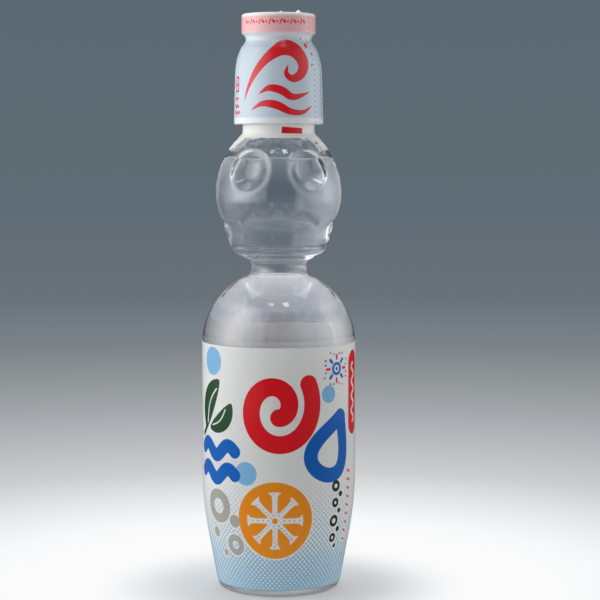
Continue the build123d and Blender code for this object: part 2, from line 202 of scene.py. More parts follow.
# Gives a surface its faces and a UV map in millimetres: across = angle * reach, up = height.
# Each face is low left, low right, high right, high left; a pole closes an end by a fan.
def addPiece(name, surface, body, material, reach=10.0, inks=None):
    grid, heights = surface["grid"], surface["side"][:, 1]
    rowCount, columnCount = grid.shape[:2]
    points = grid.reshape(-1, 3)
    tube = surface["below"] is None and surface["above"] is None  # its last row meets the first
    low = np.arange(rowCount if tube else rowCount - 1)[:, None]
    high = (low + 1) % rowCount
    column = np.arange(columnCount)
    after = (column + 1) % columnCount
    left, right = surface["angles"][:-1] * reach, surface["angles"][1:] * reach
    face = ((low, column, left), (low, after, right), (high, after, right), (high, column, left))
    corners = [np.stack([row * columnCount + place for row, place, across in face], 2).ravel()]
    maps = [np.stack([np.stack(np.broadcast_arrays(across, heights[row]), 2) for row, place, across in face],
                     2).reshape(-1, 2)]
    sizes = [np.full(len(corners[0]) // 4, 4)]
    for end, row, flip in ((surface["below"], 0, True), (surface["above"], rowCount - 1, False)):
        if end is None:
            continue
        fan = [row * columnCount + column, row * columnCount + after, np.full(columnCount, len(points))]
        points = np.concatenate([points, [[0, 0, end]]])
        corners.append(np.stack(fan[::-1] if flip else fan, 1).ravel())
        maps.append(np.repeat(np.stack([left, 0 * left + end], 1), 3, 0))
        sizes.append(np.full(columnCount, 3))
    return putMesh(name, points, np.concatenate(corners), np.concatenate(sizes), body, material,
                   np.concatenate(maps), inks)


def putMesh(name, points, corners, sizes, body, material, maps=None, inks=None):
    mesh = bpy.data.meshes.new(name)
    mesh.vertices.add(len(points))
    mesh.vertices.foreach_set("co", (points * millimetre).astype(np.float32).ravel())
    mesh.loops.add(len(corners))
    mesh.loops.foreach_set("vertex_index", corners.astype(np.int32))
    mesh.polygons.add(len(sizes))
    mesh.polygons.foreach_set("loop_start", np.concatenate([[0], np.cumsum(sizes)[:-1]]).astype(np.int32))
    mesh.update(calc_edges=True)
    mesh.polygons.foreach_set("use_smooth", np.ones(len(sizes), bool))
    if maps is not None:
        mesh.uv_layers.new(name="filmMap").data.foreach_set("uv", maps.astype(np.float32).ravel())
    for ink, distance in (inks or {}).items():
        layer = mesh.attributes.new(ink, "FLOAT", "POINT")
        layer.data.foreach_set("value", distance.astype(np.float32).ravel())
    mesh.update()
    mesh.materials.append(material)
    piece = bpy.data.objects.new(name, mesh)
    scene.collection.objects.link(piece)
    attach(piece, body)
    print(name, len(mesh.vertices), "points", len(mesh.loops) - 2 * len(mesh.polygons), "triangles")
    return piece


bottleSide = {
    "columns": (57, 0.95, 2.25),  # half width of the front, step there, step elsewhere (degrees)
    # how far apart the rows may be, from this height up to that; the last match counts
    "spacing": ((-10, 300, 9.0), (95, 119, 1.1), (118, 141, 0.7), (140, 168, 0.55), (92.4, 95.4, 0.3)),
    # of the outer and the inner side: from this height up to that, how soft the corners are
    "softParts": (((108, 122.6, 0.8), (122.6, 143, 1.7)), ((108, 122.4, 1.2), (122.4, 144, 2.4))),
    "chamberWall": 1.3,
    "waves": (0.03, 8.5, 4.0),  # in the inner wall: how high, from which radius on, over how much they come in
    "ridge": (0.07, 94.4, 0.8),  # mould line above the label: how proud, height, half width
    "lugs": (0.35, 133.6, 2.4),  # left and right at the chamber's foot: how proud, height, half height
    "groove": (0.4, 2.7, 1.0),  # over them: how deep as a share of them, how far up, half width
    "lugEnds": (0.8, 0.14),  # |sin angle| where they start to rise, and over how much
}
dimpleSet = {
    "angle": 31.0, "height": 157.3,
    "reach": 21.216 + 8.8 - 4.0,  # wall's radius there, bowl's radius, depth
    "tilt": 22.0,  # the wall leans in by this much there
    "bowl": 8.8,  # radius
    "softness": (3.4, 0.8, 0.9),  # of the rim outside, less by this share of the wall inside, but never under that
    "steepest": (0.985, 1.5),  # past this share of the ball's radius it goes on as a cone of that slope
    "within": (6.0, -12.0),  # how far past the ball and how far under its middle the wall may change
}
up, down, outward = (0, 1), (0, -1), (1, 0)
outerStages = [
    (0, 6.0), (17.6, 0, "leaves", outward), (20.0, 0), (22.75, 2.4, "leaves", outward), (25.4, 17.0),
    (28.32, 45.0, "arrives", up), (28.32, 91.5), (11.6, 116.5, "leaves", up), (10.35, 117.3, "arrives", up),
    (10.35, 121.2), (12.0, 122.5, "leaves", up), (16.3, 124.9), (18.2, 127.6, "arrives", up),
    (18.9, 130.3), (19.9, 134.6), (20.9, 137.2),
    (23.3, 146.6, "arrives", up), (16.9, 164.6, "leaves", up), (13.9, 168.0), (13.0, 169.4, "arrives", up),
    (13.0, 172.4), (16.1, 172.4), (16.1, 174.2), (12.5, 174.2), (12.5, 188.0), (13.6, 188.0), (13.6, 189.6),
    (12.5, 190.4), (12.5, 193.4),
]
innerStages = [
    (10.87, 193.4), (10.87, 169.4), (12.6, 167.35), (15.6, 163.95), (22.0, 146.6, "arrives", down),
    (19.6, 136.8, "leaves", down), (18.0, 135.4), (17.55, 130.3), (16.9, 128.25), (8.740, 122.296),
    (7.8, 120.6, "arrives", down), (7.8, 117.4), (9.6, 115.6), (27.52, 91.5, "arrives", down),
    (27.52, 45.0), (24.6, 17.0, "leaves", down), (21.95, 3.9), (20.0, 1.5, "arrives", (-1, 0)),
    (17.6, 1.5), (0, 7.5, "arrives", (-1, 0)),
]


def bottleSpacing(points):
    spacing = np.zeros(len(points))
    for low, high, most in bottleSide["spacing"]:
        spacing[(points[:, 1] > low) & (points[:, 1] < high)] = most
    return spacing


# Presses the two dimples into a wall. A dimple's axis leans with the wall. Seen along it, the wall is
# the lower of itself and a ball's underside, -sqrt(R^2 - d^2), with a soft change between the two.
def pressDimples(grid, wall):
    lean = math.radians(dimpleSet["tilt"])
    ballRadius = dimpleSet["bowl"] + wall
    outside, less, least = dimpleSet["softness"]
    softness = max(outside - less * wall, least)
    steepest, slope = dimpleSet["steepest"]
    past, under = dimpleSet["within"]
    for side in (-1, 1):
        turn = math.radians(side * dimpleSet["angle"])
        flat = np.array((math.sin(turn), -math.cos(turn), 0))
        centre = flat * dimpleSet["reach"] + np.array((0, 0, dimpleSet["height"]))
        axis = flat * math.cos(lean) + np.array((0, 0, math.sin(lean)))
        away = grid - centre
        rise = away @ axis
        distance = np.linalg.norm(away - rise[..., None] * axis, axis=-1)
        inside = np.minimum(distance, steepest * ballRadius)
        ball = -np.sqrt(ballRadius**2 - inside**2) + slope * (distance - inside)
        share = np.clip(0.5 + 0.5 * (ball - rise) / softness, 0, 1)
        lowered = ball + (rise - ball) * share - softness * share * (1 - share)
        near = (distance < ballRadius + past) & (rise > under)
        grid = grid + np.where(near, lowered - rise, 0)[..., None] * axis
    return grid


# Slow waves in the inner wall, as blown plastic has: a few sines of angle and height, added up
def wallWaves(grid, turns):
    height = grid[..., 2]
    wave = (np.sin(3 * turns + height / 7.0) + 0.7 * np.sin(7 * turns - height / 4.1 + 1.3)
            + 0.5 * np.sin(height / 2.3 + 2 * turns))
    radius = np.hypot(grid[..., 0], grid[..., 1])
    high, start, over = bottleSide["waves"]
    shift = high * wave * np.clip((radius - start) / over, 0, 1)
    shifted = grid.copy()
    shifted[..., :2] *= (1 + shift / np.maximum(radius, 1))[..., None]
    return shifted


bottleAngles = columnAngles(*bottleSide["columns"])
outerRun, innerRun = sideRun(outerStages), sideRun(innerStages)
for outerPart, innerPart in zip(*bottleSide["softParts"]):
    outerRun = softenedPart(outerRun, *outerPart)
    innerRun = softenedPart(innerRun, *innerPart)
outerRows = easedRun(outerRun, widest=7.0, bendShare=2.4, spacing=bottleSpacing)
innerRows = easedRun(innerRun, widest=7.0, bendShare=2.0, spacing=bottleSpacing)
outerRows[:, 0] += humps(outerRows[:, 1], [bottleSide["ridge"]])
outerWall, innerWall = turnedSurface(outerRows, bottleAngles), turnedSurface(innerRows, bottleAngles)
# Lugs: outward shift = proud * (exp(-(height off / half height)^4) - groove) * a soft step of |sin angle|
proud, lugHeight, halfLug = bottleSide["lugs"]
deep, above, halfGroove = bottleSide["groove"]
start, over = bottleSide["lugEnds"]
rows, turns = outerWall["side"][:, 1:], outerWall["turns"]
lug = np.exp(-((rows - lugHeight) / halfLug) ** 4) - humps(rows, [(deep, lugHeight + above, halfGroove)])
lugShift = proud * lug * np.clip((np.abs(np.sin(turns)) - start) / over, 0, 1) ** 2
outerWall["grid"] += np.stack([lugShift * np.sin(turns), -lugShift * np.cos(turns), 0 * lugShift], 2)
outerWall["grid"] = pressDimples(outerWall["grid"], 0)
innerWall["grid"] = wallWaves(pressDimples(innerWall["grid"], bottleSide["chamberWall"]), turns)
bottleSurface = {
    "side": np.concatenate([outerWall["side"], innerWall["side"]]), "angles": bottleAngles,
    "grid": np.concatenate([outerWall["grid"], innerWall["grid"]]),
    "below": outerWall["below"], "above": innerWall["above"],
}

# How long the skin's waves are, and the heights over the floor between which scuffs come in (metres)
clearSet = {"waveLength": 6.0, "scuffHeights": (0.0035, 0.0015)}


# Clear material that bends what is seen through it, and lets lamps and soft light straight through.
# Its skin may be a little wavy: waves is how high the waves are in metres.
# scuffs is how rough its foot has become from standing, from a few millimetres up down to the floor.
def clearMaterial(name, colour, ior, waves=0.0, scuffs=0.0):
    material, tree = newMaterial(name)
    place = addNode(tree, "TexCoord").outputs["Object"]
    skin = {"Base Color": linearColour(colour), "Transmission Weight": 1.0, "IOR": ior, "Roughness": 0.0}
    if waves:
        noise = addNode(tree, "TexNoise", {"Vector": place, "Scale": 1000 / clearSet["waveLength"], "Detail": 1.0})
        skin["Normal"] = addNode(tree, "Bump", {"Strength": 1.0, "Distance": waves, "Height": noise})
    if scuffs:
        height = addNode(tree, "SeparateXYZ", [place]).outputs["Z"]
        skin["Roughness"] = addNode(tree, "MapRange", [height, *clearSet["scuffHeights"], 0.0, scuffs])
    solid = addNode(tree, "BsdfPrincipled", skin)
    through = addNode(tree, "BsdfTransparent", {"Color": linearColour(colour)})
    path = addNode(tree, "LightPath").outputs
    unbent = addNode(tree, "Math", [path["Is Shadow Ray"], path["Is Diffuse Ray"]], operation="MAXIMUM")
    addNode(tree, "OutputMaterial", [addNode(tree, "MixShader", [unbent, solid, through])])
    return material


# PET, blown: water-clear and glossy, so the eye reads it by its bright and dark edges
blownPet = clearMaterial("blownClearPet", "#FDFDFE", 1.57, 0.00004, 0.35)
bottle = addPiece("clearBottle", bottleSurface, "root", blownPet)
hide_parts("bottle")

drinkSet = {
    "level": 160.1, "overlap": 0.08,
    "meniscus": (0.35, 0.8),  # how far the top creeps up the wall, and over what width
    "wallEnd": 0.2,  # the wall's own rows stop this far under the level
    "nearRows": (2.4, 10),  # of the top: up to this distance from the wall, how many
    "farRows": (3.2, 0.6, 12),  # then from this distance on to so much short of the middle, how many
}
# The drink's side is the bottle's inner wall from the bottom up, moved a little into the plastic so that no air
# shows between them: point + overlap * the direction square to the wall
wallUp = innerRows[::-1]
drinkSide = wallUp + drinkSet["overlap"] * rightOf(wallUp)
drinkSide[0, 0] = 0
drinkSide = drinkSide[drinkSide[:, 1] < drinkSet["level"] - drinkSet["wallEnd"]]
lean, climb = drinkSide[-1] - drinkSide[-2]
wallRadius = drinkSide[-1, 0] + lean / climb * (drinkSet["level"] - drinkSide[-1, 1])
drinkRows = np.concatenate([drinkSide, [[wallRadius, drinkSet["level"]]]])
# The top creeps up the wall: level - meniscus * (1 - exp(-distance from the wall / width))
nearEnd, nearCount = drinkSet["nearRows"]
farStart, shortOf, farCount = drinkSet["farRows"]
reachIn = np.concatenate([np.linspace(0, nearEnd, nearCount)[1:],
                          np.linspace(farStart, wallRadius - shortOf, farCount)])
creep, width = drinkSet["meniscus"]
topRows = np.stack([wallRadius - reachIn, drinkSet["level"] - creep * (1 - np.exp(-reachIn / width))], 1)
drinkSurface = turnedSurface(np.concatenate([drinkRows, topRows, [[0, drinkSet["level"] - creep]]]), bottleAngles)
sideCount = len(drinkRows) - 1
drinkGrid = drinkSurface["grid"]
drinkGrid[:sideCount] = wallWaves(
    pressDimples(drinkGrid[:sideCount], bottleSide["chamberWall"] - drinkSet["overlap"]), drinkSurface["turns"])
# The top's rows shrink from the wall's real outline, with the dimples in it, to the middle
drinkGrid[sideCount:, :, :2] = drinkGrid[sideCount - 1, :, :2] * (1 - reachIn / wallRadius)[:, None, None]
# Soda water: as clear as the bottle, and it makes the bottle a lens
sodaWater = clearMaterial("sodaWater", "#FEFEFF", 1.333)
addPiece("drink", drinkSurface, "root", sodaWater)

dropletSet = {
    "count": 130, "seed": 11, "heights": (161.3, 169.2), "radii": (0.26, 0.75), "bulge": 1.0, "sunk": 0.02,
    "dimples": (24, 166.6),  # none this close to a dimple's angle and under this height
    "sides": 8, "lifts": (30, 60, 90),
    "steadyFrom": 155, "slopeStep": 0.2,  # height from which on the wall only goes up, and how far its slope is read
}


# Drops of water that cling to the wall above the drink. Each is a cap on the wall:
# place + radius * sin t * (across, along the wall) + radius * bulge * cos t * inwards, for t from 0 to 90 degrees
def dropletMesh():
    dice = np.random.default_rng(dropletSet["seed"])
    height = dice.uniform(*dropletSet["heights"], dropletSet["count"])
    turn = dice.uniform(-math.pi, math.pi, dropletSet["count"])
    low, high = dropletSet["radii"]
    size = low + (high - low) * dice.uniform(0, 1, dropletSet["count"]) ** 2.5
    closeBy, under = dropletSet["dimples"]
    free = (np.abs(np.degrees(np.abs(turn)) - dimpleSet["angle"]) >= closeBy) | (height >= under)
    height, turn, size = height[free], turn[free], size[free]
    wall = wallUp[wallUp[:, 1] > dropletSet["steadyFrom"]]
    radius, radiusAbove = (np.interp(height + more, wall[:, 1], wall[:, 0]) for more in (0, dropletSet["slopeStep"]))
    lean = np.arctan((radiusAbove - radius) / dropletSet["slopeStep"])[:, None]
    outwards = np.stack([np.sin(turn), -np.cos(turn), 0 * turn], 1)
    across = np.stack([np.cos(turn), np.sin(turn), 0 * turn], 1)
    upward = np.array((0, 0, 1.0))
    along = outwards * np.sin(lean) + upward * np.cos(lean)
    inwards = upward * np.sin(lean) - outwards * np.cos(lean)
    place = outwards * radius[:, None] + upward * height[:, None] - inwards * dropletSet["sunk"]
    sides, bulge = dropletSet["sides"], dropletSet["bulge"]
    lift = np.radians(dropletSet["lifts"])[:, None]
    spin = np.linspace(0, 2 * math.pi, sides + 1)[:-1]
    rings = np.stack([np.sin(lift) * np.cos(spin), np.sin(lift) * np.sin(spin), bulge * np.cos(lift) + 0 * spin], 2)
    cap = np.concatenate([rings.reshape(-1, 3), [[0, 0, bulge], [0, 0, 0]]])
    points = place[:, None] + size[:, None, None] * (cap @ np.stack([across, along, inwards], 1))
    column = np.arange(sides)
    after = (column + 1) % sides
    top, base, rim = np.full(sides, len(cap) - 2), np.full(sides, len(cap) - 1), len(cap) - 2 - sides
    fans = np.stack([[top, column, after], [rim + after, rim + column, base]]).transpose(0, 2, 1)
    quads = [np.stack([k + column, k + sides + column, k + sides + after, k + after], 1)
             for k in range(0, rim, sides)]
    one = np.concatenate([fans.ravel(), np.ravel(quads)])
    sizes = [3] * (2 * sides) + [4] * rim
    corners = one + (len(cap) * np.arange(len(size)))[:, None]
    return points.reshape(-1, 3), corners.ravel(), np.tile(sizes, len(size))


putMesh("neckDroplets", *dropletMesh(), "root", sodaWater)

marbleSet = {"radius": 8.5, "height": 195.787, "rows": 73, "columns": 120}
lift = np.radians(np.linspace(-90, 90, marbleSet["rows"]))
marbleSide = np.stack([marbleSet["radius"] * np.cos(lift),
                       marbleSet["height"] + marbleSet["radius"] * np.sin(lift)], 1)
marbleSide[[0, -1], 0] = 0
# Soda-lime glass, pressed and polished: a faint sea green
sodaLimeGlass = clearMaterial("polishedSodaLimeGlass", "#DCF0EE", 1.52)
marble = addPiece("glassMarble", turnedSurface(marbleSide, evenAngles(marbleSet["columns"])), "marble", sodaLimeGlass)
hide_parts("marble")

farOff = 4.0  # millimetres; everything further off a stroke is alike


# Distance in millimetres to a brush stroke: the least, over its straight runs, of the distance to the run
# less the half width there
def strokeDistance(points, path, halfWidths, around=None):
    path = np.atleast_2d(np.array(path, float))
    widths = np.broadcast_to(np.array(halfWidths, float), len(path))
    if len(path) == 1:  # a dot is a run of no length
        path, widths = np.repeat(path, 2, 0), np.repeat(widths, 2)
    here = points.copy()
    if around:  # the stroke may lie over the seam
        middle = path[:, 0].mean()
        here[:, 0] = middle + (here[:, 0] - middle + around / 2) % around - around / 2
    margin = widths.max() + farOff
    near = ((here > path.min(0) - margin) & (here < path.max(0) + margin)).all(1)
    result = np.full(len(points), farOff)
    if not near.any():
        return result
    starts, runs = path[:-1], np.diff(path, axis=0)
    away = here[near, None, :] - starts
    share = np.clip((away * runs).sum(2) / np.maximum((runs**2).sum(1), 1e-9), 0, 1)
    gap = np.linalg.norm(away - share[..., None] * runs, axis=2)
    result[near] = (gap - (widths[:-1] + share * np.diff(widths))).min(1)
    return np.minimum(result, farOff)


def ring(centre, radius):  # a circle as a path
    turn = np.linspace(0, 2 * math.pi, 41)
    return np.stack([centre[0] + radius * np.sin(turn), centre[1] + radius * np.cos(turn)], 1)


def wave(start, length, swing, crests):  # height = swing * sin along a straight line
    share = np.linspace(0, 1, int(20 * crests) + 1)
    return np.stack([start[0] + length * share, start[1] + swing * np.sin(2 * math.pi * crests * share)], 1)


def swirl(centre, inner, outer, turns, start, tall=1.0):  # a spiral whose radius grows evenly with its angle
    share = np.linspace(0, 1, 70)
    turn = 2 * math.pi * turns * share + math.radians(start)
    radius = inner + (outer - inner) * share
    return np.stack([centre[0] + radius * np.cos(turn), centre[1] + tall * radius * np.sin(turn)], 1)


def drop(centre, size, lean):  # a drop's outline: across = sin t * sin(t/2)^1.5, up = cos t
    turn = np.linspace(0.35, 2 * math.pi - 0.35, 60)
    across = size * 0.95 * np.sin(turn) * np.sin(turn / 2) ** 1.5
    rise = size * np.cos(turn)
    c, s = math.cos(math.radians(lean)), math.sin(math.radians(lean))
    path = np.stack([centre[0] + across * c - rise * s, centre[1] + across * s + rise * c], 1)
    return np.concatenate([path, path[:1]])


# A brush stroke through a few (across, up, half width) points: a Catmull-Rom curve, the half widths carried along it
def brush(points):
    knots = np.array(points, float)
    knots = np.concatenate([2 * knots[:1] - knots[1:2], knots, 2 * knots[-1:] - knots[-2:-1]])
    share = np.linspace(0, 1, 9)[:-1, None]
    before, here, after, later = (knots[k:len(knots) - 3 + k, None] for k in range(4))
    curve = 0.5 * (2 * here + (after - before) * share + (2 * before - 5 * here + 4 * after - later) * share**2
                   + (3 * here - before - 3 * after + later) * share**3)
    curve = np.concatenate([curve.reshape(-1, 3), knots[-2:-1]])
    return curve[:, :2], np.maximum(curve[:, 2], 0.05)


# Distance to the edge of a straight bar with square ends: the greater of its two overhangs
def barDistance(points, centre, halfSize, tilt):
    c, s = math.cos(math.radians(tilt)), math.sin(math.radians(tilt))
    across, rise = (points - np.array(centre)).T
    return np.maximum(np.abs(across * c + rise * s) - halfSize[0], np.abs(rise * c - across * s) - halfSize[1])


leafShare = np.linspace(0, 1, 15)


def leaf(start, end, bend):  # a bent line for a leaf's middle
    start, end = np.array(start, float), np.array(end, float)
    side = np.array((start[1] - end[1], end[0] - start[0]))
    return start + (end - start) * leafShare[:, None] + side * bend * np.sin(math.pi * leafShare)[:, None]


def leafWidths(widest, thinnest=0.15):  # thinnest + widest * sin^0.8 along the leaf
    return thinnest + widest * np.sin(math.pi * leafShare) ** 0.8


# Least distance to any stroke of each ink, as one named value at each point of the mesh
def inkLayers(surface, art, reach, around=None):
    across, heights = np.broadcast_arrays(surface["turns"] * reach, surface["side"][:, 1:])
    points = np.stack([across.ravel(), heights.ravel()], 1)
    layers = {}
    for ink, strokes in art.items():
        gaps = [barDistance(points, *stroke) if len(stroke) == 3 else strokeDistance(points, *stroke, around)
                for stroke in strokes]
        layers[ink] = np.minimum(np.min(gaps, 0), farOff)
    return layers


# A film as a closed tube of its outer and its inner side, each with its own easing
def filmTube(outer, inner, film):
    rows = [easedRun(side, *easing) for side, easing in zip((outer, inner), film["easing"])]
    return turnedSurface(np.concatenate(rows), columnAngles(*film["columns"]))


def addFilm(name, surface, body, material, film, art, around=None):
    return addPiece(name, surface, body, material, film["reach"], inkLayers(surface, art, film["reach"], around))


labelSet = {
    "reach": 28.5, "columns": (80, 0.66, 1.5),
    "easing": ((0.35, 0.42, 0.1), (0.35, 6.0, 2.0)),  # outside and inside: softness, widest step, bend share
    "white": "#ECEDEB", "halftone": "#97C3DC", "dotPitch": 1.4,
    # heights between which the dots grow, the levels their waves are cut off at there, and how soft their edge is
    "dotHeights": (45.0, 0.0), "dotLevels": (1.98, -1.35), "dotEdge": 0.12,
    "keyline": 0.55,
    "inks": {"inkPale": "#8AC2E8", "inkRed": "#E61B26", "inkBlue": "#0568C4", "inkOrange": "#F2980F",
             "inkGreen": "#20512E", "inkGrey": "#B2B1AC", "inkDark": "#1E2226", "inkPaper": "#F0F0EE"},
    "rough": 0.11, "through": 0.3,
}
sliceAt = (-1.5, 29.6)
burstAt = np.array((23.6, 84.0))
petals = [(np.stack([sliceAt[0] + math.sin(a) * np.linspace(3.4, 8.7, 6),
                     sliceAt[1] + math.cos(a) * np.linspace(3.4, 8.7, 6)], 1), np.linspace(0.35, 2.45, 6))
          for a in np.radians(np.arange(22.5, 360, 45))]


def rays(first, inner, outer, halfWidth):  # short strokes round the burst, a quarter turn apart
    turn = np.radians(first + 90 * np.arange(4))[:, None]
    way = np.concatenate([np.sin(turn), np.cos(turn)], 1)
    return [([burstAt + inner * w, burstAt + outer * w], halfWidth) for w in way]


labelArt = {
    "inkPale": [([(-28.6, 86.4)], 5.2), ([(-12.4, 46.6)], 4.3), ([(19.6, 75.0)], 3.2),
                ([(-62.0, 74.0)], 6.2), ([(-76.0, 52.0)], 4.6), ([(62.0, 30.0)], 5.0), ([(82.0, 80.0)], 4.8),
                (ring((-56.0, 56.0), 3.4), 0.8), (ring((-68.0, 62.0), 2.2), 0.6), (ring((55.0, 78.0), 4.6), 0.9),
                (ring((60.0, 65.0), 2.6), 0.7), (wave((46.0, 51.0), 24.0, 2.1, 3), 1.3),
                (wave((46.0, 44.8), 24.0, 2.1, 3), 1.3), (wave((-86.0, 38.0), 26.0, 2.1, 3), 1.4)],
    "inkRed": [(swirl((-1.0, 70.4), 3.0, 14.3, 1.28, 292, 1.14), 3.25), ([(35.6, 62.8), (35.6, 85.6)], 4.2)]
              + rays(0, 3.6, 4.9, 0.5) + rays(30, 6.2, 6.4, 0.42) + rays(62, 6.6, 6.8, 0.36)
              + [(wave((30.4, 45.6 - 3.2 * k), 2.2, 0.55, 1), 0.3) for k in range(9)]
              + [([(-40.5, 64.5 - 2.6 * k), (-40.5, 63.3 - 2.6 * k)], 0.34) for k in range(8)]
              + [(swirl((78.0, 62.0), 1.8, 7.6, 1.35, 20), 1.75)],
    "inkBlue": [(drop((21.4, 56.6), 11.4, -24), 2.75), (wave((-35.6, 54.2), 18.6, 2.0, 1.5), 2.45),
                (wave((-35.6, 45.6), 18.6, 2.0, 1.5), 2.45), (ring(burstAt, 1.9), 0.55), ([burstAt], 0.7),
                (drop((-60.0, 30.0), 6.4, 15), 1.7)]
               + rays(45, 3.3, 4.7, 0.55) + rays(15, 5.6, 5.8, 0.4) + rays(76, 5.4, 5.6, 0.34),
    "inkOrange": [(ring(sliceAt, 12.5), 1.8), ([sliceAt], 1.1)] + petals
                 + [(ring((66.0, 88.0), 2.6), 0.8), (ring((-84.0, 76.0), 4.6), 1.2), ([(-84.0, 76.0)], 2.0)],
    "inkGreen": [(leaf((-33.6, 61.2), (-24.6, 79.8), 0.12), leafWidths(4.2)),
                 (leaf((-30.4, 61.8), (-18.6, 71.6), -0.16), leafWidths(3.3)),
                 ([(-36.4, 58.8), (-33.0, 62.4)], 0.85)],
    "inkGrey": [(ring((-25.8, 33.4), 4.6), 1.75), ([(-17.8, 28.6)], 2.4), ([(-28.8, 23.2)], 2.0),
                (ring((-18.4, 19.6), 2.8), 1.2), ([(-24.4, 16.0)], 1.35)],
    "inkDark": [(ring((23.4, 41.0), 1.5), 0.62), ([(26.2, 37.8)], 1.05), (ring((23.4, 34.8), 1.2), 0.56),
                ([(25.8, 31.6)], 0.95), (ring((23.3, 28.0), 1.6), 0.62), ([(26.1, 24.6)], 1.05),
                (ring((23.5, 21.6), 1.2), 0.54), ([(25.4, 18.4)], 0.85)],
    "inkPaper": [(wave((63.4, 35.6), 21.6, 1.25, 4)[:, ::-1], 0.62),
                 (leaf((-32.4, 63.6), (-26.2, 76.4), 0.12), 0.34), (leaf((-28.6, 63.0), (-21.4, 69.2), -0.14), 0.28)],
}
labelOuter = sideRun([(23.039, 3.0), (25.58, 17.0), (28.5, 45.0, "arrives", up), (28.5, 92.4)])
labelInner = sideRun([(28.35, 92.4), (28.35, 45.0), (25.43, 17.0, "leaves", down), (22.889, 3.0)])
labelSurface = filmTube(labelOuter, labelInner, labelSet)


# Lays one colour over what is there, where a value goes from the first edge to the second
def layColour(tree, under, colour, value, edges, most=1.0):
    mask = addNode(tree, "MapRange", [value, *edges, 0.0, most])
    return addNode(tree, "Mix", {0: mask, 6: under, 7: linearColour(colour)}, data_type="RGBA")


# Lays inks over what is printed already, each inside its strokes' edges or a little beyond them
def layInks(tree, under, inks, grow=0.0, edge=0.05):
    for ink, colour in inks.items():
        distance = addNode(tree, "Attribute", attribute_name=ink).outputs["Fac"]
        under = layColour(tree, under, colour, distance, (grow + edge, grow - edge))
    return under


# Two noises that make a skin uneven: a fine grain that raises it, and slow clouds in its roughness. grain and
# cloud are (millimetres, detail), rough is the range over the clouds, bump (strength, metres).
def unevenSkin(tree, grain, cloud, rough, bump):
    place = addNode(tree, "TexCoord").outputs["Object"]
    fine, slow = (addNode(tree, "TexNoise", {"Vector": place, "Scale": 1000 / size, "Detail": detail})
                  for size, detail in (grain, cloud))
    return slow, {"Roughness": addNode(tree, "MapRange", [slow, 0.3, 0.7, *rough]),
                  "Normal": addNode(tree, "Bump", {"Strength": bump[0], "Distance": bump[1], "Height": fine})}


filmSet = {"ior": 1.52, "grain": (1.6, 3.0), "cloud": (11.0, 2.0), "bump": (0.02, 0.0004), "dent": (0.6, 0.0002),
           "roughRange": (-0.03, 0.05)}


# Printed film: one print under a gloss, with the faint unevenness of shrunk film in its shine.
# dents are pressed in where they are dark. through is the share of light that goes on through the film, softly.
def filmMaterial(tree, printed, rough, dents=None, through=0.0):
    skin = unevenSkin(tree, filmSet["grain"], filmSet["cloud"], [rough + more for more in filmSet["roughRange"]],
                      filmSet["bump"])[1]
    if dents is not None:
        strength, deep = filmSet["dent"]
        skin["Normal"] = addNode(tree, "Bump", {"Strength": strength, "Distance": deep, "Height": dents,
                                                "Normal": skin["Normal"]})
    shader = addNode(tree, "BsdfPrincipled", {"IOR": filmSet["ior"], "Base Color": printed, **skin})
    if through:
        behind = addNode(tree, "BsdfTranslucent", {"Color": printed})
        shader = addNode(tree, "MixShader", [through, shader, behind])
    addNode(tree, "OutputMaterial", [shader])


def filmPlace(tree):  # millimetres across and up, from the UV map
    return addNode(tree, "SeparateXYZ", [addNode(tree, "UVMap", uv_map="filmMap")]).outputs[:2]


# PET shrink sleeve, gravure printed: white ground, flat inks and a halftone foot under a clear gloss
printedSleeve, tree = newMaterial("printedPetSleeve")
across, rise = filmPlace(tree)
# Halftone: cos a + cos b over a lattice turned by 45 degrees, cut off at a level that falls towards the foot
waves = []
for sign in (1.0, -1.0):
    slant = addNode(tree, "Math", [rise, sign, across], operation="MULTIPLY_ADD")
    turn = addNode(tree, "Math", [slant, 2**0.5 * math.pi / labelSet["dotPitch"]], operation="MULTIPLY")
    waves.append(addNode(tree, "Math", [turn], operation="COSINE"))
dots = addNode(tree, "Math", waves, operation="ADD")
level = addNode(tree, "MapRange", [rise, *labelSet["dotHeights"], *labelSet["dotLevels"]])
above = addNode(tree, "Math", [dots, level], operation="SUBTRACT")
ground = layColour(tree, linearColour(labelSet["white"]), labelSet["halftone"], above,
                   (-labelSet["dotEdge"], labelSet["dotEdge"]))
ground = layInks(tree, ground, dict.fromkeys(labelSet["inks"], labelSet["white"]), labelSet["keyline"])
ground = layInks(tree, ground, labelSet["inks"])
filmMaterial(tree, ground, labelSet["rough"], through=labelSet["through"])
label = addFilm("bodyLabel", labelSurface, "root", printedSleeve, labelSet, labelArt,
                2 * math.pi * labelSet["reach"])
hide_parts("body_label")
print("label is printed")

collarSet = {
    "reach": 13.2, "columns": (80, 1.1, 2.5), "easing": ((0.2, 0.3, 1.0), (0.2, 0.8, 1.0)),
    "onNeck": (162.5, 169.4),  # heights between which the film lies on the bottle
    "gaps": (0.24, 0.08),  # of its outer and its inner side to the bottle there
    # its lowest place, where it stays as it is, its edge in front and behind, how much lower that is at the sides
    "hang": (162.6, 169.0, 167.3, 4.5),
    "sideStep": (0.80, 0.18),  # |sin angle| where it starts to hang lower, and over how much
    "white": "#FBFAF7", "rough": 0.18, "through": 0.3,
}
collarArt = {"inkRed": [((5.2, 169.85), (4.1, 1.25), -4.0)]}
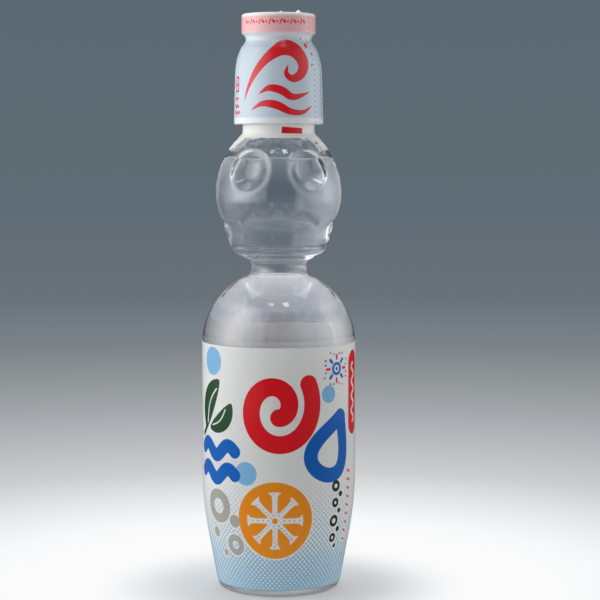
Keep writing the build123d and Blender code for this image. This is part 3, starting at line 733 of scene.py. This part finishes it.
# The skirt lies on the bottle: the bottle's own side, moved out by a gap
low, high = collarSet["onNeck"]
onNeck = outerRows[(outerRows[:, 1] > low) & (outerRows[:, 1] < high)]
skirt = [onNeck + gap * rightOf(onNeck) for gap in collarSet["gaps"]]
collarOuter = np.concatenate([skirt[0], [[13.2, 169.8], [13.2, 172.22], [16.13, 172.22]]])
collarInner = np.concatenate([[[16.13, 172.37], [13.05, 172.37], [13.05, 169.8]], skirt[1][::-1]])
collarSurface = filmTube(collarOuter, collarInner, collarSet)


# Lifts the film's edge from its lowest place: height = edge + (height - lowest) * (top - edge) / (top - lowest).
# The edge is level in front and behind. At the sides, where the tube had its folds, a soft step takes it lower.
def hangCollar(surface):
    lowest, top, level, sideDrop = collarSet["hang"]
    start, over = collarSet["sideStep"]
    turns, side = surface["turns"], surface["side"]
    share = np.clip((np.abs(np.sin(turns)) - start) / over, 0, 1)
    edge = level - sideDrop * share * share * (3 - 2 * share)
    height = side[:, 1:]
    lifted = np.where(height < top, edge + (height - lowest) * (top - edge) / (top - lowest), height)
    outerCount = np.argmax(side[:, 1]) + 1
    outer, inner = side[:outerCount], side[:outerCount - 1:-1]
    radius = np.concatenate([np.interp(lifted[:outerCount], outer[:, 1], outer[:, 0]),
                             np.interp(lifted[outerCount:], inner[:, 1], inner[:, 0])])
    radius = np.where(height < top, radius, side[:, :1])
    surface["grid"] = np.stack([radius * np.sin(turns), -radius * np.cos(turns), lifted], 2)


hangCollar(collarSurface)
# White PET film, shrunk on: bright and glossy, thin enough to look a little soft at its edge
whiteFilm, tree = newMaterial("whiteShrunkPet")
ground = layInks(tree, linearColour(collarSet["white"]), {"inkRed": labelSet["inks"]["inkRed"]})
filmMaterial(tree, ground, collarSet["rough"], through=collarSet["through"])
collar = addFilm("neckFilm", collarSurface, "root", whiteFilm, collarSet, collarArt)
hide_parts("neck_film")

capFilmSet = {
    "reach": 16.4, "columns": (84, 1.0, 2.0), "easing": ((0.25, 0.32, 1.0), (0.25, 1.6, 1.2)), "rough": 0.2,
    "blue": "#C0CFDA",
    # over the blue: colour, heights between which it comes in, how much of it. The last one, near-white along the top
    # lip, is a painted highlight of the lip's rounded edge in the overhead light
    "bandsAndLipHighlight": (("#E2E4E6", (174.85, 174.35), 1.0), ("#E2E4E6", (200.6, 204.4), 0.75),
              ("#E9B0B3", (204.9, 205.9), 1.0), ("#FBFAFA", (210.9, 212.1), 1.0)),
    "inks": {"inkRed": "#DC1A24", "inkTear": "#94708A"},
    "prickColour": "#5F6B78", "prickAngle": 54.6, "prickPitch": 1.9,
    "prickRadius": (0.33, 0.21),  # where it starts and where it is full
    "marks": (-58, 47, 5.6),  # round the band, a wave, a dot and a bar in turn: first and last angle, step
    "wrinkles": ((0.06, 204.3, 1.3), (0.03, 173.4, 1.0), (0.025, 211.2, 0.7)),  # how deep, height, half width
    "folds": ((0.8, 38, 3.2), (0.4, 4, 2.2)),  # of the lip: how tall, angle, half width
    "crinkles": (0.28, 0.05),  # of the lip: how far in and out, how far down
    # where crinkles and folds are: inwards from this radius on, over how much they come in, above which height
    "onTop": (12.6, 1.4, 211), "onLip": (13.2, 1.2, 211.6),
}
bandMarks = []
for k, angle in enumerate(np.arange(*capFilmSet["marks"])):
    at = math.radians(angle) * capFilmSet["reach"]
    bandMarks.append(((wave((at - 0.55, 209.2), 1.1, 0.5, 1), 0.27), ([(at, 209.2)], 0.42),
                      ([(at - 0.4, 208.4), (at + 0.4, 210.0)], 0.27))[k % 3])
squareMark = [(-20.6, 184.2), (-18.4, 184.2), (-18.4, 189.2), (-20.6, 189.2), (-20.6, 184.2)]
capArt = {
    "inkRed": [
        brush([(-14.2, 180.6, 0.12), (-12.2, 185.6, 0.7), (-8.6, 191.4, 1.3), (-4.0, 196.4, 1.9), (1.6, 199.6, 2.7),
               (7.0, 198.8, 3.0), (10.0, 194.6, 2.6), (8.8, 190.4, 1.9), (5.4, 188.6, 1.3), (2.9, 190.4, 0.9),
               (3.6, 193.4, 0.15)]),
        brush([(-7.4, 183.2, 0.12), (-3.4, 185.2, 1.15), (1.0, 184.4, 1.5), (5.6, 182.0, 1.2), (12.6, 183.8, 0.12)]),
        brush([(-10.6, 177.4, 0.12), (-6.0, 179.6, 1.0), (-1.0, 179.2, 1.5), (4.4, 176.8, 1.2), (9.4, 176.6, 0.8),
               (14.0, 179.0, 0.12)]),
        ([(13.4, 200.6)], 0.95), ([(15.6, 197.6)], 0.65), ([(12.0, 203.2)], 0.5), ([(14.4, 193.6)], 0.5),
        ([(16.2, 202.0)], 0.35), (squareMark, 0.36), ([(-19.5, 186.6)], 0.5),
        (wave((-21.0, 181.4), 2.6, 0.5, 1.5), 0.3), (wave((-21.4, 178.8), 3.4, 0.5, 2), 0.3),
        (wave((-21.4, 176.4), 4.4, 0.5, 2.5), 0.3)] + bandMarks,
    "inkTear": [([(20.9, 174.2 + 1.75 * k), (20.9, 175.0 + 1.75 * k)], 0.34) for k in range(18)],
}
capOuter = sideRun([(16.40, 172.4), (16.40, 174.6), (15.95, 191.0), (13.70, 200.2, "leaves", (-0.45, 16.4)),
                    (12.05, 202.6), (12.05, 203.1), (13.55, 205.2, "leaves", up), (13.55, 211.5),
                    (12.5, 212.55, "leaves", up), (11.2, 212.55)])
capInner = sideRun([(11.2, 212.40), (12.5, 212.40), (13.40, 211.5, "arrives", down), (13.40, 205.2),
                    (11.90, 203.1, "arrives", down), (11.90, 202.6), (13.55, 200.2),
                    (15.80, 191.0, "arrives", (0.45, -16.4)), (16.25, 174.6), (16.25, 172.4)])
capSurface = filmTube(capOuter, capInner, capFilmSet)


# Small upright wrinkles where the film was shrunk over a step, and a crinkled lip on top:
# inward shift = strength at this height * a sum of sines round the film. One fold of the lip stands up a little.
def wrinkleFilm(surface):
    grid, turns = surface["grid"], surface["turns"]
    radius, height = surface["side"][:, :1], surface["side"][:, 1:]
    ripple = (np.sin(31 * turns) + 0.8 * np.sin(47 * turns + 1.1) + 0.6 * np.sin(23 * turns + 2.0)) / 2.4
    aside, lower = capFilmSet["crinkles"]
    onTop, onLip = (np.clip((start - radius) / over, 0, 1) * (height > foot)
                    for start, over, foot in (capFilmSet["onTop"], capFilmSet["onLip"]))
    shift = onTop * aside * ripple - humps(height, capFilmSet["wrinkles"]) * (0.5 + 0.5 * ripple)
    grid[..., 0] += shift * np.sin(turns)
    grid[..., 1] -= shift * np.cos(turns)
    grid[..., 2] -= onTop * lower * (1 + np.sin(37 * turns + 0.4))
    grid[..., 2] += onLip * humps(np.degrees(turns), capFilmSet["folds"])


wrinkleFilm(capSurface)
# Printed shrink film, torn off by hand: pale blue with white and pink bands, a painted highlight as a near-white band
# along the top lip, and pricked tear lines
tearFilmPrint, tree = newMaterial("perforatedPrintedPet")
across, rise = filmPlace(tree)
ground = linearColour(capFilmSet["blue"])
# the last band laid here is the painted highlight along the lip
for colour, edges, most in capFilmSet["bandsAndLipHighlight"]:
    ground = layColour(tree, ground, colour, rise, edges, most)
ground = layInks(tree, ground, capFilmSet["inks"])
# Pricks: distance from the tear line, and from the nearest multiple of the pitch along it
aside = addNode(tree, "Math", [across, math.radians(capFilmSet["prickAngle"]) * capFilmSet["reach"]],
                operation="SUBTRACT")
along = addNode(tree, "Math", [rise, capFilmSet["prickPitch"] / 2], operation="PINGPONG")
gap = addNode(tree, "VectorMath", [addNode(tree, "CombineXYZ", [aside, along])], operation="LENGTH")
ground = layColour(tree, ground, capFilmSet["prickColour"], gap, capFilmSet["prickRadius"])
dents = addNode(tree, "MapRange", [gap, *capFilmSet["prickRadius"], 1.0, 0.0])
filmMaterial(tree, ground, capFilmSet["rough"], dents)
capFilm = addFilm("tearFilm", capSurface, "opener", tearFilmPrint, capFilmSet, capArt)
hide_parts("cap_film")
print("films are printed")

# Moulded polyethylene: satin, with a soft look from light that goes in a little way
polyethylene = {"uneven": ((0.5, 2.0), (9.0, 2.0), (0.37, 0.48), (0.08, 0.0002)), "tone": (0.94, 1.0),
                "ior": 1.51, "glow": 0.15}
# Moulded rubber: matt, fine-grained and slightly uneven in tone
rubber = {"uneven": ((0.8, 4.0), (0.8, 4.0), (0.65, 0.65), (0.2, 0.0002)), "tone": (0.85, 1.05),
          "ior": 1.52, "glow": 0.0}


# One moulded material in its own colour; glow is the share of light that goes in and comes out close by
def mouldedMaterial(name, colour, finish):
    material, tree = newMaterial(name)
    clouds, skin = unevenSkin(tree, *finish["uneven"])
    tone = addNode(tree, "MapRange", [clouds, 0.3, 0.7, *finish["tone"]])
    tint = addNode(tree, "Mix", {0: 1.0, 6: linearColour(colour), 7: tone}, data_type="RGBA", blend_type="MULTIPLY")
    solid = addNode(tree, "BsdfPrincipled", {"Base Color": tint, "IOR": finish["ior"], "Subsurface Scale": 0.001,
                                             "Subsurface Weight": finish["glow"], **skin})
    addNode(tree, "OutputMaterial", [solid])
    return material


whitePolyethylene = mouldedMaterial("mouldedWhitePolyethylene", "#EDEFF0", polyethylene)
pinkPolyethylene = mouldedMaterial("mouldedPinkPolyethylene", "#EEC3C9", polyethylene)


# A moulded part from its side view, eased by (softness, widest step, bend share). A side view that ends where it
# starts is a ring, whose last point is the first one again.
def addMoulding(name, stages, easing, body, material):
    side = easedRun(sideRun(stages), *easing)
    if stages[0] == stages[-1]:
        side = side[:-1]
    return addPiece(name, turnedSurface(side, evenAngles(180)), body, material)


capStages = [
    (16.15, 174.6), (15.7, 191.0), (13.45, 200.2, "leaves", (-0.45, 16.4)), (11.8, 202.6), (11.8, 205.7),
    (11.3, 206.2, "leaves", up), (8.1, 206.2), (7.6, 205.7, "arrives", down), (7.6, 203.4), (9.8, 203.4),
    (9.8, 200.32), (10.68, 200.32), (10.68, 194.33), (13.95, 194.33), (13.95, 187.8), (13.0, 187.8),
    (13.0, 186.95), (13.95, 186.1), (13.95, 174.6), (16.15, 174.6),
]
mouthPiece = addMoulding("mouthPiece", capStages, (0.15, 1.5, 2.0), "root", whitePolyethylene)
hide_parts("mouth_cap")

carrierStages = [
    (13.3, 205.2), (13.3, 211.5), (12.5, 212.3, "leaves", up), (11.05, 212.3), (10.25, 211.5, "arrives", down),
    (10.25, 206.25), (12.0, 206.25), (12.0, 205.2), (13.3, 205.2),
]
carrierRing = addMoulding("carrierRing", carrierStages, (0.12, 1.2, 2.5), "opener", pinkPolyethylene)
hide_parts("carrier_ring")

discStages = [
    (0, 210.2), (9.6, 210.2), (10.0, 210.6, "leaves", outward), (10.0, 211.5), (9.6, 211.9, "leaves", up),
    (7.0, 211.9), (0, 211.4, "arrives", (-1, 0)),
]
plungerDisc = addMoulding("plungerDisc", discStages, (0.12, 1.0, 2.5), "plunger", pinkPolyethylene)
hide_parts("plunger")

postSet = {"radius": 6.0, "halfRib": 0.9, "tip": 204.59, "chamfer": 0.6, "top": 210.4}


# Outline of a cross with round arm ends: for each arm a short arc at the radius, then the inner corner
def crossOutline(radius, halfRib):
    reach = math.asin(halfRib / radius)
    arc = np.linspace(-reach, reach, 7)
    arm = np.concatenate([np.stack([radius * np.cos(arc), radius * np.sin(arc)], 1), [[halfRib, halfRib]]])
    turn = np.arange(4) * math.pi / 2
    spin = np.stack([np.stack([np.cos(turn), -np.sin(turn)], 1), np.stack([np.sin(turn), np.cos(turn)], 1)], 1)
    return np.einsum("kij,nj->kni", spin, arm).reshape(-1, 2)


# The cross is carried upwards through a few heights, a little smaller at its tip
postLevels = ((postSet["chamfer"], postSet["tip"]), (0, postSet["tip"] + postSet["chamfer"]), (0, postSet["top"]))
postRings = [crossOutline(postSet["radius"] - less, postSet["halfRib"] - less) for less, height in postLevels]
postGrid = np.stack([np.column_stack([ring, np.full(len(ring), height)])
                     for ring, (less, height) in zip(postRings, postLevels)])
plungerPost = addPiece("plungerPost", {
    "side": np.array(postLevels), "angles": evenAngles(postGrid.shape[1]), "grid": postGrid,
    "below": postSet["tip"], "above": postSet["top"]}, "plunger", pinkPolyethylene)
plungerPost.data.polygons.foreach_set("use_smooth", np.zeros(len(plungerPost.data.polygons), bool))

# The rings inside the mouthpiece keep their own solids
hiddenFinishes = {
    "seal_ring": mouldedMaterial("mouldedRedRubber", "#A23A30", rubber),
    "neck_gasket": mouldedMaterial("softLinerFoam", "#CFCFC9", rubber),
    "seal_retainer": mouldedMaterial("mouldedRetainerPolyethylene", "#E6E9EC", polyethylene),
}
for node, finish in hiddenFinishes.items():
    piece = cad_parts[node]
    piece.data.materials.clear()
    piece.data.materials.append(finish)

stageSet = {
    "floorColour": "#B4B9BD",
    "floorRadius": 12.0,
    "floorGap": 0.05,  # millimetres under the bottle, so that light leaves its foot before it meets the floor
    "shadowReach": (0.030, 0.072),  # metres from the bottle over which the floor turns to plain backdrop
    # metres from the bottle and the colour there, as the camera sees it: a painted pool of light, white close round
    # the bottle and darker with distance
    "paintedLightBackdrop": [(0.0, "#FBFBFC"), (0.10, "#FBFBFC"), (0.13, "#F7F8F9"), (0.17, "#EAEBEC"), (0.25, "#CCCDCF"),
                 (0.35, "#B8BABE"), (0.48, "#A2A6AA"), (0.64, "#8F9497"), (0.85, "#7C8388"), (0.98, "#747F88"),
                 (1.3, "#697379"), (2.0, "#656F78"), (4.0, "#606D76"), (12.0, "#5E6B73")],
    # the same as clear and glossy surfaces see it, painted light that also darkens with distance: the backdrop rises
    # close behind, and its foot is in soft shadow
    "bentPaintedLightBackdrop": [(0.0, "#F4F5F4"), (0.08, "#F0F1F0"), (0.15, "#D6D9DC"), (0.20, "#BFC3C8"), (0.28, "#AAAFB5"),
                     (0.40, "#93999F"), (0.52, "#7B838B"), (0.66, "#646F77"), (0.85, "#5A666E"), (12.0, "#55626C")],
    "sideReach": 0.25,  # how far off the floor left and right of the bottle counts for them, against behind it
    # reflections see the painted-light backdrop dimmed to this share
    "glossShare": 0.4,  # how bright the backdrop is in reflections
    "skyLow": "#5E6B73", "skyHigh": "#5C6973", "skyRise": 0.07,  # and how high up the second one starts
    "fill": 0.05,
    # next to the bottle a share of the floor glows as painted light, which lightens its real shadow
    "ownGlow": 0.35,  # share of plain backdrop in the floor next to the bottle
    # azimuth of the middle (degrees), distance, width, height and how much of that fades out at the top (metres)
    "panels": {"leftFront": (-52, 0.45, 0.58, 0.95, 0.5), "leftBack": (-110, 0.45, 0.44, 0.95, 0.5),
               "rightFront": (62, 0.45, 0.58, 0.8, 0.5), "rightBack": (118, 0.45, 0.44, 0.8, 0.5)},
    "footFade": (0.12, 0.25),  # height over which they fade in from the floor up (metres), and from what share
    "power": 0.93,  # of all panels
    # azimuth (degrees) and brightness there, for all panels
    "brightness": [(-138, 0.0), (-120, 0.35), (-108, 0.85), (-88, 1.8), (-75, 2.6), (-60, 2.0), (-48, 1.3),
                   (-36, 0.85), (-22, 0.5), (-19, 0.0), (28, 0.0), (32, 0.25), (50, 0.35), (70, 0.7),
                   (95, 1.1), (108, 1.1), (120, 0.4), (138, 0.0)],
    # plain square lamps: where they stand and what they point at (metres), side, brightness.
    # Clear surfaces don't see them, and those whose name ends in Glow aren't seen mirrored either.
    "boxes": {"overhead": ((0, 0.5, 0.95), (0, 0.5, 0), 1.0, 1.3),
              "leftGlint": ((-0.15, -0.34, 0.95), (0, 0, 0.15), 0.09, 3.6),
              "rightGlint": ((0.15, -0.34, 0.95), (0, 0, 0.15), 0.12, 5.4),
              "rearGlow": ((0, 0.6, 0.25), (0, 0, 0.1), 0.5, 2.0),
              "leftGlow": ((-0.55, 0.30, 0.15), (0, 0, 0.08), 0.4, 2.6),
              "rightGlow": ((0.55, 0.25, 0.15), (0, 0, 0.08), 0.4, 1.2)},
}
floorTurn = np.radians(np.arange(0, 360, 5))
floorPoints = np.stack([stageSet["floorRadius"] * np.cos(floorTurn), stageSet["floorRadius"] * np.sin(floorTurn),
                        0 * floorTurn - stageSet["floorGap"] * millimetre], 1)
floorMesh = bpy.data.meshes.new("studioFloor")
floorMesh.from_pydata(floorPoints.tolist(), [], [list(range(len(floorPoints)))])
floor = bpy.data.objects.new("studioFloor", floorMesh)
scene.collection.objects.link(floor)


# A colour ramp over values that rise from left to right
def addRamp(tree, stops, source):
    ramp = addNode(tree, "ValToRGB", [source])
    elements = ramp.color_ramp.elements
    while len(elements) < len(stops):
        elements.new(0.5)
    for element, (position, colour) in zip(elements, stops):
        element.position, element.color = position, colour
    return ramp


# Matt studio paper: near the bottle it takes light and shadow, further off it is a glowing backdrop to the eye, with
# a painted pool of light round the bottle.
# The ramps run over r / (1 + r), so that near and far both have room.
studioPaper, tree = newMaterial("mattPaperAndPaintedLightBackdrop")
place = addNode(tree, "TexCoord").outputs["Object"]
distances, sights = [], []
for name, sideReach in (("paintedLightBackdrop", 1.0), ("bentPaintedLightBackdrop", stageSet["sideReach"])):
    flat = addNode(tree, "VectorMath", [place, (sideReach, 1, 0)], operation="MULTIPLY")
    away = addNode(tree, "VectorMath", [flat], operation="LENGTH")
    more = addNode(tree, "Math", [away, 1.0], operation="ADD")
    share = addNode(tree, "Math", [away, more], operation="DIVIDE")
    stops = [(metres / (1 + metres), linearColour(colour)) for metres, colour in stageSet[name]]
    distances.append(away)
    sights.append(addRamp(tree, stops, share))
path = addNode(tree, "LightPath").outputs
glossy, passing = path["Is Glossy Ray"], path["Is Transmission Ray"]
bent = addNode(tree, "Math", [glossy, passing], operation="MAXIMUM")
sight = addNode(tree, "Mix", {0: bent, 6: sights[0], 7: sights[1]}, data_type="RGBA")
mirrored = addNode(tree, "Math", [glossy, passing], operation="SUBTRACT")  # a passing ray counts as glossy too
strength = addNode(tree, "MapRange", {0: mirrored, 3: 1.0, 4: stageSet["glossShare"]})
paper = addNode(tree, "BsdfDiffuse", {"Color": linearColour(stageSet["floorColour"])})
# the glowing backdrop: its brightness, falling off away from the bottle, is painted light
paintedLightBackdrop = addNode(tree, "Emission", {"Color": sight, "Strength": strength})
# matt surfaces and clear ones always see the backdrop's own tone, the camera sees it away from the bottle
other = addNode(tree, "Math", [1.0, path["Is Camera Ray"]], operation="SUBTRACT")
distant = addNode(tree, "MapRange", [distances[0], *stageSet["shadowReach"]], interpolation_type="SMOOTHSTEP")
# painted light: part of the floor next to the bottle glows like the backdrop, over its real shadow
near = addNode(tree, "MapRange", {0: distant, 3: stageSet["ownGlow"], 4: 1.0})
mask = addNode(tree, "Math", [other, near], operation="MAXIMUM")
addNode(tree, "OutputMaterial", [addNode(tree, "MixShader", [mask, paper, paintedLightBackdrop])])
floorMesh.materials.append(studioPaper)

scene.world = bpy.data.worlds.new("studioAir")
tree = emptyTree(scene.world)
path = addNode(tree, "LightPath").outputs
bent = addNode(tree, "Math", [path["Is Glossy Ray"], path["Is Transmission Ray"]], operation="MAXIMUM")
seen = addNode(tree, "Math", [path["Is Camera Ray"], bent], operation="MAXIMUM")
way = addNode(tree, "SeparateXYZ", [addNode(tree, "TexCoord").outputs["Generated"]])
rise = addNode(tree, "MapRange", [way.outputs["Z"], 0.0, stageSet["skyRise"]])
skyTone = addNode(tree, "Mix", {0: rise, 6: linearColour(stageSet["skyLow"]), 7: linearColour(stageSet["skyHigh"])},
                  data_type="RGBA")
air = addNode(tree, "Background", [(1, 1, 1, 1), stageSet["fill"]])
sky = addNode(tree, "Background", [skyTone, 1.0])
addNode(tree, "OutputWorld", [addNode(tree, "MixShader", [seen, air, sky])])


def addLamp(name, width, tall, place, aim):
    lamp = bpy.data.lights.new(name, "AREA")
    lamp.shape, lamp.size, lamp.size_y = "RECTANGLE", width, tall
    lamp.energy = 4 * width * tall  # so that its face shines with a brightness of 1
    box = aimedObject(name, lamp, place, aim)
    box.visible_camera = False
    return box


# Tall softboxes round the bottle. Their brightness follows the azimuth, fades out at the top and in from the floor.
peak = max(value for angle, value in stageSet["brightness"])
brightStops = [((angle + 180) / 360, [value / peak] * 3 + [1]) for angle, value in stageSet["brightness"]]
footHeight, footShare = stageSet["footFade"]
for name, (azimuth, distance, width, tall, fading) in stageSet["panels"].items():
    turn = math.radians(azimuth)
    place = (distance * math.sin(turn), -distance * math.cos(turn), tall / 2)
    tree = emptyTree(addLamp(name, width, tall, place, (0, 0, tall / 2)).data)
    x, y, z = addNode(tree, "SeparateXYZ", [addNode(tree, "NewGeometry").outputs["Position"]]).outputs
    front = addNode(tree, "Math", [y, -1.0], operation="MULTIPLY")
    angle = addNode(tree, "Math", [x, front], operation="ARCTAN2")
    glow = addRamp(tree, brightStops, addNode(tree, "MapRange", [angle, -math.pi, math.pi]))
    fade = addNode(tree, "MapRange", [z, tall, tall - fading], interpolation_type="SMOOTHSTEP")
    foot = addNode(tree, "MapRange", [z, 0.0, footHeight, footShare], interpolation_type="SMOOTHSTEP")
    both = addNode(tree, "Math", [fade, foot], operation="MULTIPLY")
    power = addNode(tree, "Math", [both, peak * stageSet["power"]], operation="MULTIPLY")
    addNode(tree, "OutputLight", [addNode(tree, "Emission", [glow, power])])
for name, (place, aim, side, brightness) in stageSet["boxes"].items():
    box = addLamp(name, side, side, place, aim)
    box.data.energy *= brightness
    box.visible_transmission = False
    box.visible_glossy = not name.endswith("Glow")
print("floor, backdrop and", len(stageSet["panels"]) + len(stageSet["boxes"]), "lamps are in place")
